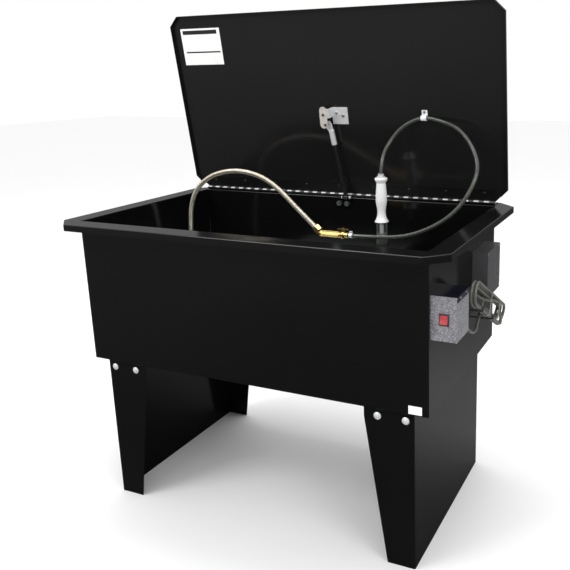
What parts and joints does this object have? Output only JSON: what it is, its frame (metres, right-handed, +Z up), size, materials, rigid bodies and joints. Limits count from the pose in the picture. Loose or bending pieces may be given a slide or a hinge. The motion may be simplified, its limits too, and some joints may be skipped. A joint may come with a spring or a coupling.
{
  "type": "parts washer tank",
  "caption": "Free-standing sheet-steel parts washer: deep tank on two folded legs, hinged lid on a fusible-link support, flexible spout, brush, switch box.",
  "frame": {"origin": "on the floor under the middle of the object, cord left out", "axes": "+Z up, the front of the tank towards -Y, the switch box on the +X end"},
  "size_m": [1.006, 0.606, 1.2341],
  "materials": {
    "tank_black": "gloss black powder coat",
    "zinc": "bright zinc",
    "galvanised": "satin galvanised sheet",
    "brass_fitting": "turned brass",
    "pump_plastic": "moulded plastic",
    "gland_rubber": "moulded rubber",
    "spout_metal": "ribbed metal hose",
    "chrome_trim": "polished",
    "clear_hose": "clear vinyl hose, smoky",
    "white_clip": "white nylon",
    "white_handle": "white moulded plastic",
    "bristle": "nylon bristle",
    "label_white": "vinyl label",
    "label_ink": "printed bars",
    "hinge_steel": "black with worn knuckles",
    "rod_black": "satin black",
    "hammertone": "grey hammered enamel",
    "cover_black": "black enamel",
    "switch_black": "moulded plastic",
    "switch_red": "moulded red plastic",
    "junction_grey": "dark grey enamel",
    "cord_grey": "grey-olive rubber jacket",
    "tie_light": "plastic tie"
  },
  "bodies": {
    "cabinet": {"tub": "tank_black", "leg_left": "tank_black", "leg_right": "tank_black", "tank_angles": "tank_black", "leg_bolts": "zinc", "leg_washers": "zinc", "hex_nuts": "zinc", "drain_fitting": "brass_fitting", "drain_plug": "brass_fitting", "work_shelf": "galvanised", "shelf_brackets": "tank_black", "pump_strainer": "pump_plastic", "pump_body": "pump_plastic", "pump_gland": "gland_rubber", "spout_base": "brass_fitting", "gooseneck": "spout_metal", "hinge_leaf_tank": "hinge_steel", "hinge_pin": "zinc", "hinge_screws_tank": "zinc", "stay_bracket": "zinc", "stay_pivot_pin": "zinc", "stay_bracket_bolts": "zinc", "control_box": "hammertone", "control_box_cover": "cover_black", "cover_screws": "zinc", "box_bolts": "zinc", "switch_bezel": "switch_black", "junction_box": "junction_grey", "junction_cover": "junction_grey", "cord_gland": "switch_black", "power_cord": "cord_grey", "cord_hank": "cord_grey", "cord_ties": "tie_light", "plug": "cord_grey", "plug_pins": "brass_fitting", "cord_hooks": "tank_black", "front_sticker": "label_white", "brush_hose": "clear_hose"},
    "lid": {"lid": "tank_black", "lid_label": "label_white", "lid_label_bars": "label_ink", "hinge_leaf_lid": "hinge_steel", "hinge_screws_lid": "zinc", "lid_screws": "zinc", "stay_plate": "zinc", "fusible_link": "brass_fitting", "link_rivets": "zinc", "hose_clip": "white_clip"},
    "stay_arm": {"stay_rod": "rod_black"},
    "sleeve": {"stay_sleeve": "chrome_trim"},
    "valve": {"spout_nut": "brass_fitting", "valve_body": "brass_fitting", "hose_clamp": "chrome_trim"},
    "lever": {"valve_lever": "chrome_trim"},
    "brush": {"brush_collar": "chrome_trim", "brush_handle": "white_handle", "brush_tube": "chrome_trim", "brush_bristles": "bristle"},
    "rocker": {"switch_rocker": "switch_red"}
  },
  "joints": [
    {"name": "lid_hinge", "type": "hinge", "parent": "cabinet", "child": "lid", "pos_m": [-0.005, 0.259, 0.7375], "axis": [1, 0, 0], "range_deg": [0, 81], "deforming": ["gooseneck", "brush_hose"]},
    {"name": "stay_swing", "type": "hinge", "parent": "cabinet", "child": "stay_arm", "pos_m": [0.022, 0.247, 0.733], "axis": [1, 0, 0], "range_deg": [0, 83.5]},
    {"name": "stay_slide", "type": "slide", "parent": "stay_arm", "child": "sleeve", "axis": [-0.1321, -0.1475, 0.9802], "range_m": [-0.0147, 0]},
    {"name": "valve_drop", "type": "slide", "parent": "cabinet", "child": "valve", "axis": [0, 0, 1], "range_m": [-0.0986, 0]},
    {"name": "brush_drop", "type": "slide", "parent": "cabinet", "child": "brush", "axis": [0, 0, 1], "range_m": [-0.1752, 0]},
    {"name": "valve_lever_turn", "type": "hinge", "parent": "valve", "child": "lever", "pos_m": [0.123, 0.019, 0.681], "axis": [0, 0, 1], "range_deg": [0, 90]},
    {"name": "switch_rock", "type": "hinge", "parent": "cabinet", "child": "rocker", "pos_m": [0.474, -0.2435, 0.5915], "axis": [1, 0, 0], "range_deg": [0, 14]}
  ],
  "couplings": [
    {"joint": "stay_swing", "follows": "lid_hinge", "ratio": 1.0299},
    {"joint": "stay_slide", "follows": "lid_hinge", "m_per_rad": -0.01032},
    {"joint": "valve_drop", "follows": "lid_hinge", "m_per_rad": -0.069639},
    {"joint": "brush_drop", "follows": "lid_hinge", "m_per_rad": -0.12372}
  ]
}
